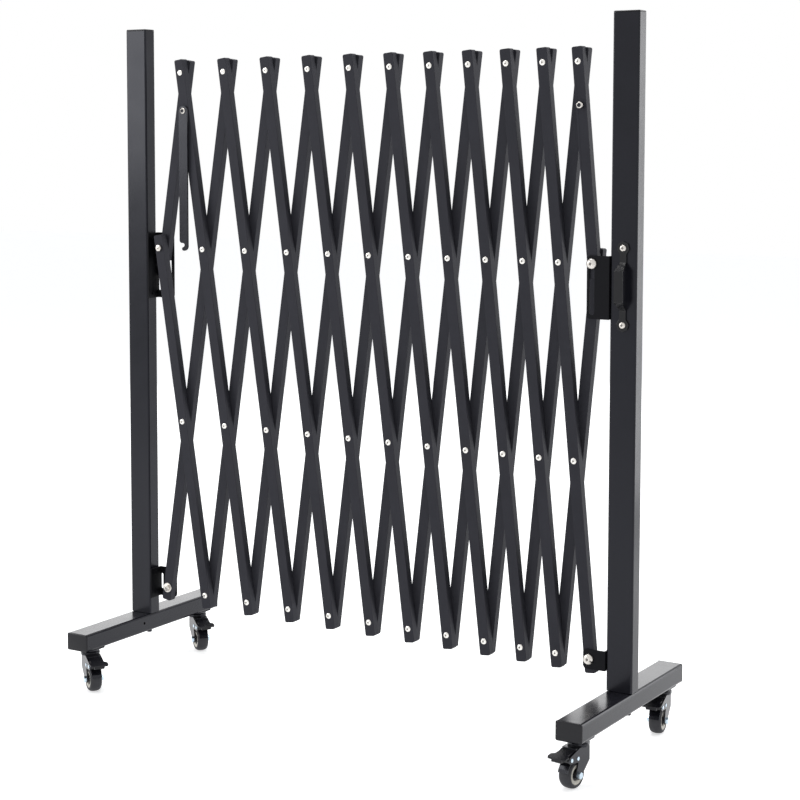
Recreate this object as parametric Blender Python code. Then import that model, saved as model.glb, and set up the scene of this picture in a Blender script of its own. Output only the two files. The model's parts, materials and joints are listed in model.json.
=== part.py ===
"""Portable barrier: a riveted scissor lattice between two posts on feet with braked casters.

X runs along the fence from the left stand to the right stand, Y runs away from the viewer and
Z is up. The origin is the centre of the underside of the barrier's box, on the floor.
Lengths are metres and angles are degrees.
"""
import bpy
import bmesh
from math import acos, asin, cos, degrees, pi, radians, sin
from mathutils import Matrix, Vector

# Clearances and cutting
FIT_GAP = 0.0003
SLIDE_GAP = 0.0005
CUT_OVERRUN = 0.003
WELD_SINK = 0.0005
MERGE_DISTANCE = 0.00002

# Stands
POST_WIDTH = 0.050
POST_DEPTH = 0.031
POST_HEIGHT = 1.206
POST_CORNER = 0.003
FOOT_WIDTH = 0.050
FOOT_HEIGHT = 0.035
FOOT_LENGTH = 0.443
FOOT_CORNER = 0.004
TUBE_WALL = 0.0015
CAP_THICKNESS = 0.003
CAP_SPIGOT = 0.012
POST_BOLT_HEAD = 0.011
POST_BOLT_RISE = 0.005
POST_BOLT_ASIDE = 0.0155
POST_BOLT_FORWARD = 0.008
FOOT_HOLE = 0.006
FOOT_HOLE_FORWARD = 0.036
FOOT_HOLE_DROP = 0.0155

# Lattice, with rows counted from the top and stations numbered along rows one and three
ROW_SPACING = 0.357
TOP_ROW = 1
BOTTOM_ROW = 4
MIDDLE_ROW = 2.5
BAYS = 10
MIDDLE_PITCH = 0.0876
PITCH_FALL = 0.00408
BOTTOM_ROW_RISE = 0.055
END_PIN_OFFSET = 0.058
FRONT_PIVOT_ROWS = (3, 2, 1, 3, 2, 1, 3, 2, 1, 3, 2, 1)
BACK_PIVOT_ROWS = (2, 4, 3, 3, 4, 3, 3, 4, 3, 3, 4, 3)
FULL_LEAN = 29.0
FOLDED_LEAN = 2.0

# Lattice bars
BAR_WIDTH = 0.021
BAR_DEPTH = 0.016
BAR_OVERHANG = 0.0265
BAR_CORNER = 0.003
LAYER_GAP = 0.0006

# Rivets
RIVET_SHANK = 0.0055
RIVET_HOLE = 0.0085
RIVET_HEAD = 0.011
RIVET_TAIL = 0.0115
RIVET_RISE = 0.0023
CROWN_SHARE = 0.6
SHOULDER_SHARE = 0.85

# End bolts
BOLT_SHANK = 0.007
BOLT_LOOSE_HOLE = 0.010
BOLT_DOME = 0.020
BOLT_DOME_RISE = 0.006
BOLT_WASHER = 0.020
BOLT_WASHER_THICKNESS = 0.0015
BOLT_NUT = 0.014
BOLT_NUT_RISE = 0.0055

# Brackets
BRACKET_THICKNESS = 0.0025
BRACKET_CORNER = 0.006
FLANGE_PAST_PIN = 0.0105
SLOT_PLAY = 0.0012
RIGHT_UPPER_MARGIN_ABOVE = 0.007
RIGHT_UPPER_MARGIN_BELOW = 0.007
LEFT_UPPER_MARGIN_ABOVE = 0.0174
LEFT_UPPER_MARGIN_BELOW = 0.018
RIGHT_LOWER_ABOVE_PIN = 0.018
RIGHT_LOWER_BELOW_PIN = 0.018
LEFT_LOWER_ABOVE_PIN = 0.038
LEFT_LOWER_BELOW_PIN = 0.023
WINDOW_WIDTH = 0.0055
WINDOW_LENGTH = 0.0325
WINDOW_FROM_POST = 0.0062
WINDOW_RISE = 0.0145
PEEP_HOLE = 0.004
PEEP_HOLE_FROM_POST = 0.0056
PEEP_HOLE_ABOVE_WINDOW = 0.018
BRACKET_SCREW = 0.008
BRACKET_SCREW_RISE = 0.002
BRACKET_SCREW_INSET = 0.010

# Hook and studs
HOOK_WIDTH = 0.021
HOOK_THICKNESS = 0.003
HOOK_REACH = 0.269
HOOK_BELOW_ROW = 0.077
HOOK_NOTCH = 0.008
HOOK_NOTCH_DEPTH = 0.0125
HOOK_FINGER = 0.0075
HOOK_TIP_SETBACK = 0.006
HOOK_CORNER = 0.005
HOOK_END_CORNER = 0.009
STUD_SPACER = 0.012
STUD_SPACER_LENGTH = 0.003
STUD_NECK = 0.006
STUD_HEAD = 0.012
STUD_HEAD_RISE = 0.0028

# Pull handle
HANDLE_RISE = 0.7257
HANDLE_SCREW_SPACING = 0.1355
HANDLE_TAB = 0.024
HANDLE_NECK_WIDTH = 0.0125
HANDLE_GRIP_WIDTH = 0.017
HANDLE_GRIP_LENGTH = 0.054
HANDLE_LEG = 0.0155
HANDLE_STANDOFF = 0.022
HANDLE_THICKNESS = 0.0025
HANDLE_SCREW = 0.0115
HANDLE_SCREW_RISE = 0.003

# Casters
CASTER_HEIGHT = 0.0845
CASTER_FROM_END = 0.0415
TRAIL_TURNS = {"left_front": 55.5, "left_back": 53.5, "right_front": -8.5, "right_back": 6.5}
PLATE_SIZE = 0.044
PLATE_THICKNESS = 0.0025
PLATE_CORNER = 0.005
RACE_DIAMETER = 0.039
RACE_WAIST = 0.0355
RACE_HEIGHT = 0.008
SWIVEL_GAP = 0.0004
KING_PIN = 0.008
KING_PIN_HEAD = 0.015
KING_PIN_HEAD_HEIGHT = 0.0025
CROWN_DIAMETER = 0.038
CROWN_THICKNESS = 0.003
WHEEL_DIAMETER = 0.050
WHEEL_WIDTH = 0.024
WHEEL_TRAIL = 0.021
TREAD_SHOULDER = 0.0045
TYRE_THICKNESS = 0.0075
RIM_RECESS = 0.0015
HUB_DIAMETER = 0.013
AXLE_DIAMETER = 0.006
AXLE_NUT = 0.0125
AXLE_NUT_RISE = 0.0045
WHEEL_SIDE_GAP = 0.0015
LEG_THICKNESS = 0.002
LEG_BACK = 0.0195
SHELL_RADIUS = 0.019
LEG_SHOULDER = 0.018
LEG_FOOT = 0.016
LEG_ARCH_DROP = 0.002
BRAKE_BLOCK_BACK = 0.010
BRAKE_BLOCK_FRONT = 0.029
BRAKE_BLOCK_DROP = 0.007
SHOE_PIN = 0.005
SHOE_PIN_FORWARD = 0.0035
SHOE_PIN_RISE = 0.030
SHOE_GAP = 0.0012
SHOE_THICKNESS = 0.0015
SHOE_WIDTH = 0.020
SHOE_LUG = 0.0045
SHOE_START = 15.0
SHOE_END = 92.0
PIN_HEAD = 0.007
PIN_HEAD_RISE = 0.001

# Brake pedal
PEDAL_PIN = 0.005
PEDAL_PIN_FORWARD = 0.0225
PEDAL_PIN_RISE = 0.031
PEDAL_EAR = 0.014
PEDAL_SIDE_GAP = 0.001
PEDAL_THICKNESS = 0.0025
PEDAL_BACK = 0.0133
PEDAL_FRONT = 0.0265
PEDAL_TOP_RISE = 0.013
PEDAL_SLOPE_DROP = 0.004
PEDAL_LIP_DROP = 0.002
PEDAL_LIP_LENGTH = 0.012
PEDAL_LIP_WIDTH = 0.037
PEDAL_LIP_CORNER = 0.0045
PEDAL_HUB = 0.012
PEDAL_BUMP_LENGTH = 0.007
PEDAL_BUMP_WIDTH = 0.020
PEDAL_BUMP_DROP = 0.006

# Facets of round pieces
RIVET_SIDES = 8
BOLT_SIDES = 12
NUT_SIDES = 6
RACE_SIDES = 16
WHEEL_SIDES = 20
CORNER_STEPS = 2
ARC_STEPS = 6

# Sizes worked out from the ones above
FOOT_TOP = CASTER_HEIGHT + FOOT_HEIGHT
LAST_BAR = BAYS + 1
MIDDLE_STATION = BAYS / 2
HALF_ROWS = MIDDLE_ROW - TOP_ROW
BAR_FACE = LAYER_GAP / 2
BAR_OUTSIDE = BAR_FACE + BAR_DEPTH
FLANGE_INSIDE = BAR_OUTSIDE + SLIDE_GAP
FLANGE_OUTSIDE = FLANGE_INSIDE + BRACKET_THICKNESS
BOLT_HOLE = BOLT_SHANK + 2 * FIT_GAP
HOOK_BACK = BAR_OUTSIDE + STUD_SPACER_LENGTH + FIT_GAP
HOOK_FRONT = HOOK_BACK + HOOK_THICKNESS
RACE_TOP = CASTER_HEIGHT - FIT_GAP - PLATE_THICKNESS
RACE_BOTTOM = RACE_TOP - RACE_HEIGHT
CROWN_TOP = RACE_BOTTOM - SWIVEL_GAP
CROWN_BOTTOM = CROWN_TOP - CROWN_THICKNESS
AXLE_HEIGHT = WHEEL_DIAMETER / 2
LEG_INSIDE = WHEEL_WIDTH / 2 + WHEEL_SIDE_GAP
LEG_OUTSIDE = LEG_INSIDE + LEG_THICKNESS
PEDAL_AXIS_FORWARD = WHEEL_TRAIL + PEDAL_PIN_FORWARD
PEDAL_AXIS_HEIGHT = AXLE_HEIGHT + PEDAL_PIN_RISE

# Outlines pulled along Y are drawn in X and Z, and those pulled along X in Y and Z
AXIS_TURNS = {
    "X": Matrix(((0, 0, 1), (1, 0, 0), (0, 1, 0))),
    "Y": Matrix(((1, 0, 0), (0, 0, 1), (0, 1, 0))),
    "Z": Matrix.Identity(3),
}


def clear_scene():
    """Start from an empty scene."""
    for obj in list(bpy.data.objects):
        bpy.data.objects.remove(obj, do_unlink=True)


def painted(name, colour, roughness, metallic):
    """A plain Principled material."""
    material = bpy.data.materials.new(name)
    material.use_nodes = True
    shader = material.node_tree.nodes["Principled BSDF"]
    shader.inputs["Base Color"].default_value = (*colour, 1.0)
    shader.inputs["Roughness"].default_value = roughness
    shader.inputs["Metallic"].default_value = metallic
    return material


def make_finishes():
    """The barrier's finishes by name."""
    return {
        "coat": painted("black_powder_coat", (0.045, 0.045, 0.050), 0.45, 0.0),
        "bracket": painted("black_bracket", (0.020, 0.020, 0.022), 0.40, 0.0),
        "plastic": painted("black_plastic", (0.025, 0.025, 0.028), 0.50, 0.0),
        "zinc": painted("zinc", (0.75, 0.76, 0.78), 0.28, 1.0),
        "caster": painted("caster_steel", (0.030, 0.030, 0.035), 0.25, 0.3),
        "rubber": painted("wheel_rubber", (0.050, 0.050, 0.055), 0.60, 0.0),
    }


# Outlines

def arc(centre, radius, start, end, steps=ARC_STEPS):
    """Points of an arc, both ends included."""
    turns = [radians(start + (end - start) * step / steps) for step in range(steps + 1)]
    return [(centre[0] + radius * cos(turn), centre[1] + radius * sin(turn)) for turn in turns]


def circle(radius, sides, centre=(0, 0)):
    """A regular polygon that stands for a circle."""
    turns = [2 * pi * (side + 0.5) / sides for side in range(sides)]
    return [(centre[0] + radius * cos(turn), centre[1] + radius * sin(turn)) for turn in turns]


def rectangle(left, right, low, high):
    """A plain rectangle."""
    return [(left, low), (right, low), (right, high), (left, high)]


def rounded(left, right, low, high, corner):
    """A rectangle with four round corners."""
    outline = arc((right - corner, high - corner), corner, 0, 90, CORNER_STEPS)
    outline += arc((left + corner, high - corner), corner, 90, 180, CORNER_STEPS)
    outline += arc((left + corner, low + corner), corner, 180, 270, CORNER_STEPS)
    outline += arc((right - corner, low + corner), corner, 270, 360, CORNER_STEPS)
    return outline


def slot(x, low, high, width):
    """An upright slot with round ends, from low to high."""
    radius = width / 2
    return (arc((x, high - radius), radius, 0, 180, ARC_STEPS)
            + arc((x, low + radius), radius, 180, 360, ARC_STEPS))


# Meshes

def finish_mesh(shape, axis):
    """Turn a shape built along Z to its axis, face it outwards and store it."""
    bmesh.ops.transform(shape, matrix=AXIS_TURNS[axis].to_4x4(), verts=shape.verts)
    bmesh.ops.recalc_face_normals(shape, faces=shape.faces)
    mesh = bpy.data.meshes.new("piece")
    shape.to_mesh(mesh)
    shape.free()
    return mesh


def prism(outline, low, high, axis="Z"):
    """An outline pulled from low to high along an axis."""
    shape = bmesh.new()
    base = shape.faces.new([shape.verts.new((u, v, low)) for u, v in outline])
    pulled = bmesh.ops.extrude_face_region(shape, geom=[base])
    tops = [item for item in pulled["geom"] if isinstance(item, bmesh.types.BMVert)]
    bmesh.ops.translate(shape, verts=tops, vec=(0, 0, high - low))
    return finish_mesh(shape, axis)


def turned(profile, sides, axis="Z"):
    """A solid turned about an axis from (radius, height) points, pole to pole or a closed ring."""
    shape = bmesh.new()
    rings = []
    for radius, height in profile:
        if radius == 0:
            rings.append([shape.verts.new((0, 0, height))])
        else:
            rings.append([shape.verts.new((x, y, height)) for x, y in circle(radius, sides)])
    pairs = list(zip(rings, rings[1:]))
    if profile[0][0] != 0:
        pairs.append((rings[-1], rings[0]))
    for lower, upper in pairs:
        bridge(shape, lower, upper, sides)
    return finish_mesh(shape, axis)


def bridge(shape, lower, upper, sides):
    """Faces between two rings, either of which may be a single pole."""
    for side in range(sides):
        after = (side + 1) % sides
        corners = [lower[side % len(lower)], lower[after % len(lower)],
                   upper[after % len(upper)], upper[side % len(upper)]]
        shape.faces.new(list(dict.fromkeys(corners)))


def shifted(mesh, x=0, y=0, z=0):
    """The same mesh, shifted."""
    mesh.transform(Matrix.Translation((x, y, z)))
    return mesh


def combined(base, other, operation):
    """One mesh made of two by an exact Boolean, with the points it leaves almost together merged."""
    body = bpy.data.objects.new("body", base)
    tool = bpy.data.objects.new("tool", other)
    for obj in (body, tool):
        bpy.context.scene.collection.objects.link(obj)
    boolean = body.modifiers.new("boolean", "BOOLEAN")
    boolean.operation = operation
    boolean.solver = "EXACT"
    boolean.object = tool
    bpy.context.view_layer.update()
    graph = bpy.context.evaluated_depsgraph_get()
    result = bpy.data.meshes.new_from_object(body.evaluated_get(graph))
    bpy.data.objects.remove(body)
    bpy.data.objects.remove(tool)
    shape = bmesh.new()
    shape.from_mesh(result)
    bmesh.ops.remove_doubles(shape, verts=shape.verts, dist=MERGE_DISTANCE)
    shape.to_mesh(result)
    shape.free()
    return result


def cut(base, *tools):
    """A mesh with others cut out of it."""
    for tool in tools:
        base = combined(base, tool, "DIFFERENCE")
    return base


def joined(base, *others):
    """A mesh with others joined to it."""
    for other in others:
        base = combined(base, other, "UNION")
    return base


# Objects

def place(name, mesh, finish, parent, location=(0, 0, 0), turn_z=0):
    """Put a mesh in the scene as a named piece."""
    obj = bpy.data.objects.new(name, mesh)
    bpy.context.scene.collection.objects.link(obj)
    obj.parent = parent
    obj.location = location
    obj.rotation_euler = (0, 0, radians(turn_z))
    if not mesh.materials:
        mesh.materials.append(finish)
    mesh.shade_smooth()
    mesh.set_sharp_from_angle(angle=radians(35))
    return obj


def place_frame(name, parent, location=(0, 0, 0), turn=(0, 0, 0)):
    """An empty that carries the pieces of one body."""
    frame = bpy.data.objects.new(name, None)
    bpy.context.scene.collection.objects.link(frame)
    frame.parent = parent
    frame.location = location
    frame.rotation_euler = turn
    return frame


# Lattice layout

def column(station):
    """X of a rivet column: the pitches from the middle station on, added up."""
    steps = station - MIDDLE_STATION
    return MIDDLE_PITCH * steps - PITCH_FALL * steps * steps / 2


def lean(station):
    """Lean from upright, in radians, of a bar whose middle is at a station."""
    pitch = MIDDLE_PITCH - PITCH_FALL * (station - MIDDLE_STATION)
    return asin(pitch / (2 * ROW_SPACING))


def lattice_middle():
    """Height of the middle of every bar."""
    rise = HALF_ROWS * ROW_SPACING * cos(lean(MIDDLE_STATION))
    return FOOT_TOP + BOTTOM_ROW_RISE + rise


def bar_middle(layer, number):
    """Middle station of a bar; front bars lean left at the top and back bars right."""
    offset = HALF_ROWS / 2
    return number - 1 + offset if layer == "front" else number - offset


def bar_rows(layer, number):
    """Rows of a bar's rivets; the bars at the ends of the lattice are short."""
    if (layer, number) in (("front", 0), ("back", LAST_BAR)):
        return range(TOP_ROW + 1, BOTTOM_ROW + 1)
    if (layer, number) in (("front", LAST_BAR), ("back", 0)):
        return range(TOP_ROW, TOP_ROW + 2)
    return range(TOP_ROW, BOTTOM_ROW + 1)


def bar_lean(layer, number):
    """Signed lean of a bar, in radians, as a turn about Y."""
    angle = lean(bar_middle(layer, number))
    return -angle if layer == "front" else angle


def along_bar(row):
    """Height of a row above a bar's middle, measured along the bar."""
    return (MIDDLE_ROW - row) * ROW_SPACING


def hole_place(layer, number, row):
    """Where a bar has its hole in a row."""
    angle = bar_lean(layer, number)
    x = column(bar_middle(layer, number)) + along_bar(row) * sin(angle)
    return Vector((x, 0, lattice_middle() + along_bar(row) * cos(angle)))


def pivot_row(layer, number):
    """The row in which a bar turns on the bar that carries it."""
    rows = FRONT_PIVOT_ROWS if layer == "front" else BACK_PIVOT_ROWS
    return rows[number]


# Lattice bars

def rivet():
    """A rivet from its head on the front layer to its tail behind the back layer."""
    head_radius = RIVET_HEAD / 2
    tail_radius = RIVET_TAIL / 2
    tail_seat = BAR_OUTSIDE + FIT_GAP
    profile = [
        (0, -BAR_OUTSIDE - RIVET_RISE),
        (head_radius * CROWN_SHARE, -BAR_OUTSIDE - RIVET_RISE),
        (head_radius, WELD_SINK - BAR_OUTSIDE),
        (RIVET_SHANK / 2, WELD_SINK - BAR_OUTSIDE),
        (RIVET_SHANK / 2, tail_seat),
        (tail_radius, tail_seat),
        (tail_radius * CROWN_SHARE, tail_seat + RIVET_RISE),
        (0, tail_seat + RIVET_RISE),
    ]
    return turned(profile, RIVET_SIDES, "Y")


def stud():
    """The shouldered stud that the hook turns on or drops over."""
    spacer_radius = STUD_SPACER / 2
    head_radius = STUD_HEAD / 2
    head_seat = -HOOK_FRONT - FIT_GAP
    profile = [
        (0, WELD_SINK - BAR_OUTSIDE),
        (spacer_radius, WELD_SINK - BAR_OUTSIDE),
        (spacer_radius, FIT_GAP - HOOK_BACK),
        (STUD_NECK / 2, FIT_GAP - HOOK_BACK),
        (STUD_NECK / 2, head_seat),
        (head_radius, head_seat),
        (head_radius * CROWN_SHARE, head_seat - STUD_HEAD_RISE),
        (0, head_seat - STUD_HEAD_RISE),
    ]
    return turned(profile, RIVET_SIDES, "Y")


def bar_blank(rows, near, far):
    """A plain bar that reaches past its first and last row."""
    high = along_bar(rows[0]) + BAR_OVERHANG
    low = along_bar(rows[-1]) - BAR_OVERHANG
    outline = rounded(-BAR_WIDTH / 2, BAR_WIDTH / 2, low, high, BAR_CORNER)
    return prism(outline, near, far, "Y")


def bar_hole(diameter, row, near, far):
    """Cutter for a hole through a bar in a row."""
    outline = circle(diameter / 2, RIVET_SIDES, (0, along_bar(row)))
    return prism(outline, near - CUT_OVERRUN, far + CUT_OVERRUN, "Y")


def front_bar(rows, bolt_holes, with_stud):
    """A front bar with its rivets, and bolt holes where it meets a bracket."""
    mesh = bar_blank(rows, -BAR_OUTSIDE, -BAR_FACE)
    for row in rows:
        if row in bolt_holes:
            mesh = cut(mesh, bar_hole(bolt_holes[row], row, -BAR_OUTSIDE, -BAR_FACE))
        else:
            mesh = joined(mesh, shifted(rivet(), z=along_bar(row)))
    if with_stud:
        mesh = joined(mesh, shifted(stud(), z=along_bar(TOP_ROW) - HOOK_BELOW_ROW))
    return mesh


def back_bar(rows, bolt_holes):
    """A back bar with a clearance hole for every rivet or bolt."""
    mesh = bar_blank(rows, BAR_FACE, BAR_OUTSIDE)
    for row in rows:
        diameter = bolt_holes.get(row, RIVET_HOLE)
        mesh = cut(mesh, bar_hole(diameter, row, BAR_FACE, BAR_OUTSIDE))
    return mesh


def bolt_holes_of(layer, number):
    """Rows of a bar that take a bolt, with the hole's size."""
    return {
        ("front", 0): {TOP_ROW + 1: BOLT_HOLE},
        ("front", LAST_BAR): {TOP_ROW + 1: BOLT_LOOSE_HOLE},
        ("front", BAYS): {BOTTOM_ROW: BOLT_HOLE},
        ("back", 0): {TOP_ROW + 1: BOLT_LOOSE_HOLE},
        ("back", 1): {BOTTOM_ROW: BOLT_HOLE},
        ("back", LAST_BAR): {TOP_ROW + 1: BOLT_HOLE},
    }.get((layer, number), {})


def bar_mesh(layer, number, made):
    """The mesh of a bar, shared with the bars that are exactly alike."""
    rows = bar_rows(layer, number)
    holes = bolt_holes_of(layer, number)
    with_stud = layer == "front" and number in (1, LAST_BAR)
    kind = (layer, rows, tuple(holes.items()), with_stud)
    if kind not in made:
        made[kind] = front_bar(rows, holes, with_stud) if layer == "front" else back_bar(rows, holes)
    return made[kind]


def build_lattice(root, finishes):
    """Every bar, each under an empty on its pivot."""
    made = {}
    pivots = {}
    for layer in ("front", "back"):
        for number in range(LAST_BAR + 1):
            row = pivot_row(layer, number)
            name = f"{layer}_bar_{number + 1:02d}"
            turn = (0, bar_lean(layer, number), 0)
            pivot = place_frame(f"{name}_pivot", root, hole_place(layer, number, row), turn)
            mesh = bar_mesh(layer, number, made)
            place(name, mesh, finishes["coat"], pivot, (0, 0, -along_bar(row)))
            pivots[layer, number] = pivot
    return pivots


# Hook

def hook_mesh():
    """The flat hook, its pivot hole on the origin and its notch open to the left."""
    half = HOOK_WIDTH / 2
    notch_half = HOOK_NOTCH / 2
    notch_top = notch_half - HOOK_REACH
    notch_bottom = -notch_half - HOOK_REACH
    bottom = notch_bottom - HOOK_FINGER
    notch_end = HOOK_NOTCH_DEPTH - half - notch_half
    outline = arc((0, 0), half, 0, 180)
    outline += arc((HOOK_CORNER - half, notch_top + HOOK_CORNER), HOOK_CORNER, 180, 270, CORNER_STEPS)
    outline += arc((notch_end, -HOOK_REACH), notch_half, 90, -90)
    finger = HOOK_FINGER / 2
    outline += arc((HOOK_TIP_SETBACK - half + finger, notch_bottom - finger), finger, 90, 270)
    outline += arc((half - HOOK_END_CORNER, bottom + HOOK_END_CORNER), HOOK_END_CORNER, 270, 360)
    plate = prism(outline, -HOOK_FRONT, -HOOK_BACK, "Y")
    hole = circle(STUD_NECK / 2 + FIT_GAP, RIVET_SIDES)
    return cut(plate, prism(hole, -HOOK_FRONT - CUT_OVERRUN, CUT_OVERRUN - HOOK_BACK, "Y"))


def build_hook(root, finishes):
    """The hook, hanging upright from the stud of the second front bar."""
    down = Matrix.Rotation(bar_lean("front", 1), 3, "Y") @ Vector((0, 0, -HOOK_BELOW_ROW))
    pivot = place_frame("hook_pivot", root, hole_place("front", 1, TOP_ROW) + down)
    place("hook", hook_mesh(), finishes["coat"], pivot)


# Posts and feet

def tube(width, depth, corner, low, high, axis):
    """A rectangular tube, open at both ends."""
    outside = prism(rounded(-width / 2, width / 2, -depth / 2, depth / 2, corner), low, high, axis)
    room_x = width / 2 - TUBE_WALL
    room_y = depth / 2 - TUBE_WALL
    room = rectangle(-room_x, room_x, -room_y, room_y)
    return cut(outside, prism(room, low - CUT_OVERRUN, high + CUT_OVERRUN, axis))


def plug(width, depth, corner):
    """A tube's end cap: a flange on the origin, with its spigot below."""
    flange = rounded(-width / 2, width / 2, -depth / 2, depth / 2, corner)
    inside = TUBE_WALL + FIT_GAP
    room = rectangle(inside - width / 2, width / 2 - inside, inside - depth / 2, depth / 2 - inside)
    spigot = prism(room, -CAP_SPIGOT, WELD_SINK)
    return joined(prism(flange, FIT_GAP, CAP_THICKNESS), spigot)


def foot_mesh():
    """The foot's tube with the heads of the post's bolts and the hole in its side."""
    half = FOOT_LENGTH / 2 - CAP_THICKNESS
    mesh = tube(FOOT_WIDTH, FOOT_HEIGHT, FOOT_CORNER, -half, half, "Y")
    for side in (-1, 1):
        head = circle(POST_BOLT_HEAD / 2, NUT_SIDES, (side * POST_BOLT_ASIDE, -side * POST_BOLT_FORWARD))
        under = -FOOT_HEIGHT / 2
        mesh = joined(mesh, prism(head, under - POST_BOLT_RISE, under + WELD_SINK))
    hole = circle(FOOT_HOLE / 2, RIVET_SIDES, (-FOOT_HOLE_FORWARD, FOOT_HEIGHT / 2 - FOOT_HOLE_DROP))
    near = FOOT_WIDTH / 2 - TUBE_WALL - CUT_OVERRUN
    return cut(mesh, prism(hole, near, FOOT_WIDTH / 2 + CUT_OVERRUN, "X"))


def cap_foot_end(side, frame, mesh, end, finishes):
    """One end cap of a foot, laid over to face along Y."""
    lie = place_frame(f"{side}_foot_{end}_cap_frame", frame)
    facing = -1 if end == "front" else 1
    lie.location = (0, facing * (FOOT_LENGTH / 2 - CAP_THICKNESS), FOOT_TOP - FOOT_HEIGHT / 2)
    lie.rotation_euler = (-facing * pi / 2, 0, 0)
    place(f"{side}_foot_{end}_cap", mesh, finishes["plastic"], lie)


# Brackets, drawn for the left stand; the right stand's are turned half a turn about Z

def lower_pin(side):
    """Place of the lower end bolt, on the last row."""
    if side == "left":
        return hole_place("back", 1, BOTTOM_ROW)
    return hole_place("front", BAYS, BOTTOM_ROW)


def upper_pin(side):
    """Place of the upper end bolt, on the second row."""
    if side == "left":
        return hole_place("front", 0, TOP_ROW + 1)
    return hole_place("back", LAST_BAR, TOP_ROW + 1)


def outward(side):
    """The way along X from a post to the lattice."""
    return 1 if side == "left" else -1


def slot_middle(side):
    """The upper slot's distance from the post, halfway between the upper bolt's extremes."""
    return END_PIN_OFFSET + outward(side) * (upper_pin(side).x - lower_pin(side).x) / 2


def slot_ends(side):
    """Lowest and highest place of the upper bolt's slot, with play for its shank."""
    reach = 2 * ROW_SPACING
    past = BOLT_SHANK / 2 + SLOT_PLAY
    pin = lower_pin(side).z
    return pin + reach * cos(radians(FULL_LEAN)) - past, pin + reach * cos(radians(FOLDED_LEAN)) + past


def bracket(low, high, screws):
    """An angle bracket between two heights, with its screw heads on the web."""
    web = POST_WIDTH / 2 + FIT_GAP
    bend = web + BRACKET_THICKNESS
    edge = END_PIN_OFFSET + FLANGE_PAST_PIN
    section = [(web, -POST_DEPTH / 2), (bend, -POST_DEPTH / 2), (bend, FLANGE_INSIDE),
               (edge, FLANGE_INSIDE), (edge, FLANGE_OUTSIDE), (web, FLANGE_OUTSIDE)]
    silhouette = [(web - CUT_OVERRUN, high), (web - CUT_OVERRUN, low)]
    silhouette += arc((edge - BRACKET_CORNER, low + BRACKET_CORNER), BRACKET_CORNER, 270, 360, CORNER_STEPS)
    silhouette += arc((edge - BRACKET_CORNER, high - BRACKET_CORNER), BRACKET_CORNER, 0, 90, CORNER_STEPS)
    trim = prism(silhouette, -POST_DEPTH, FLANGE_OUTSIDE + CUT_OVERRUN, "Y")
    mesh = combined(prism(section, low - CUT_OVERRUN, high + CUT_OVERRUN), trim, "INTERSECT")
    for z in screws:
        head = circle(BRACKET_SCREW / 2, RIVET_SIDES, (0, z))
        mesh = joined(mesh, prism(head, bend - WELD_SINK, bend + BRACKET_SCREW_RISE, "X"))
    return mesh


def cut_flange(mesh, outline):
    """Cut an outline out of a bracket's flange."""
    return cut(mesh, prism(outline, FLANGE_INSIDE - CUT_OVERRUN, FLANGE_OUTSIDE + CUT_OVERRUN, "Y"))


def upper_bracket(side):
    """The bracket whose slot lets the upper bolt rise and fall."""
    low, high = slot_ends(side)
    bottom = low - (LEFT_UPPER_MARGIN_BELOW if side == "left" else RIGHT_UPPER_MARGIN_BELOW)
    top = high + (LEFT_UPPER_MARGIN_ABOVE if side == "left" else RIGHT_UPPER_MARGIN_ABOVE)
    mesh = bracket(bottom, top, (bottom + BRACKET_SCREW_INSET, top - BRACKET_SCREW_INSET))
    mesh = cut_flange(mesh, slot(slot_middle(side), low, high, BOLT_SHANK + 2 * SLOT_PLAY))
    if side == "left":
        mesh = cut_window(mesh, bottom + WINDOW_RISE)
        x = POST_WIDTH / 2 + PEEP_HOLE_FROM_POST
        z = bottom + WINDOW_RISE + WINDOW_LENGTH + PEEP_HOLE_ABOVE_WINDOW
        mesh = cut_flange(mesh, circle(PEEP_HOLE / 2, RIVET_SIDES, (x, z)))
    return mesh


def cut_window(mesh, low):
    """The narrow window near the bend of the left brackets."""
    x = POST_WIDTH / 2 + WINDOW_FROM_POST
    return cut_flange(mesh, slot(x, low, low + WINDOW_LENGTH, WINDOW_WIDTH))


def lower_bracket(side):
    """The bracket that holds the lower bolt."""
    pin = lower_pin(side).z
    bottom = pin - (LEFT_LOWER_BELOW_PIN if side == "left" else RIGHT_LOWER_BELOW_PIN)
    top = pin + (LEFT_LOWER_ABOVE_PIN if side == "left" else RIGHT_LOWER_ABOVE_PIN)
    mesh = bracket(bottom, top, (bottom + BRACKET_SCREW_INSET, top - BRACKET_SCREW_INSET))
    mesh = cut_flange(mesh, circle(BOLT_HOLE / 2, RIVET_SIDES, (END_PIN_OFFSET, pin)))
    if side == "left":
        mesh = cut_window(mesh, bottom + WINDOW_RISE)
    return mesh


# End bolts

def nut_profile(seat, direction, washer):
    """Turned points of a nut, with or without its washer, outwards from its seat."""
    points = []
    if washer:
        outer = BOLT_WASHER / 2
        points += [(outer, seat), (outer, seat + direction * BOLT_WASHER_THICKNESS)]
        seat += direction * BOLT_WASHER_THICKNESS
    nut = BOLT_NUT / 2
    points += [(nut, seat), (nut, seat + direction * BOLT_NUT_RISE)]
    return points + [(0, seat + direction * BOLT_NUT_RISE)]


def dome_profile(seat, direction):
    """Turned points of a domed head, outwards from its seat."""
    radius = BOLT_DOME / 2
    top = seat + direction * BOLT_DOME_RISE
    shoulder = (seat + top) / 2
    return [(radius, seat), (radius * SHOULDER_SHARE, shoulder), (radius * CROWN_SHARE / 2, top), (0, top)]


def bolt_mesh(front, back, front_end):
    """A bolt across the lattice, between its seats in front and behind."""
    shank = BOLT_SHANK / 2
    if front_end == "dome":
        head = dome_profile(front, -1)
    else:
        head = nut_profile(front, -1, front_end == "washer")
    tail = nut_profile(back, 1, False)
    profile = head[::-1] + [(shank, front), (shank, back)] + tail
    return turned(profile, BOLT_SIDES, "Y")


# Pull handle

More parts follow.
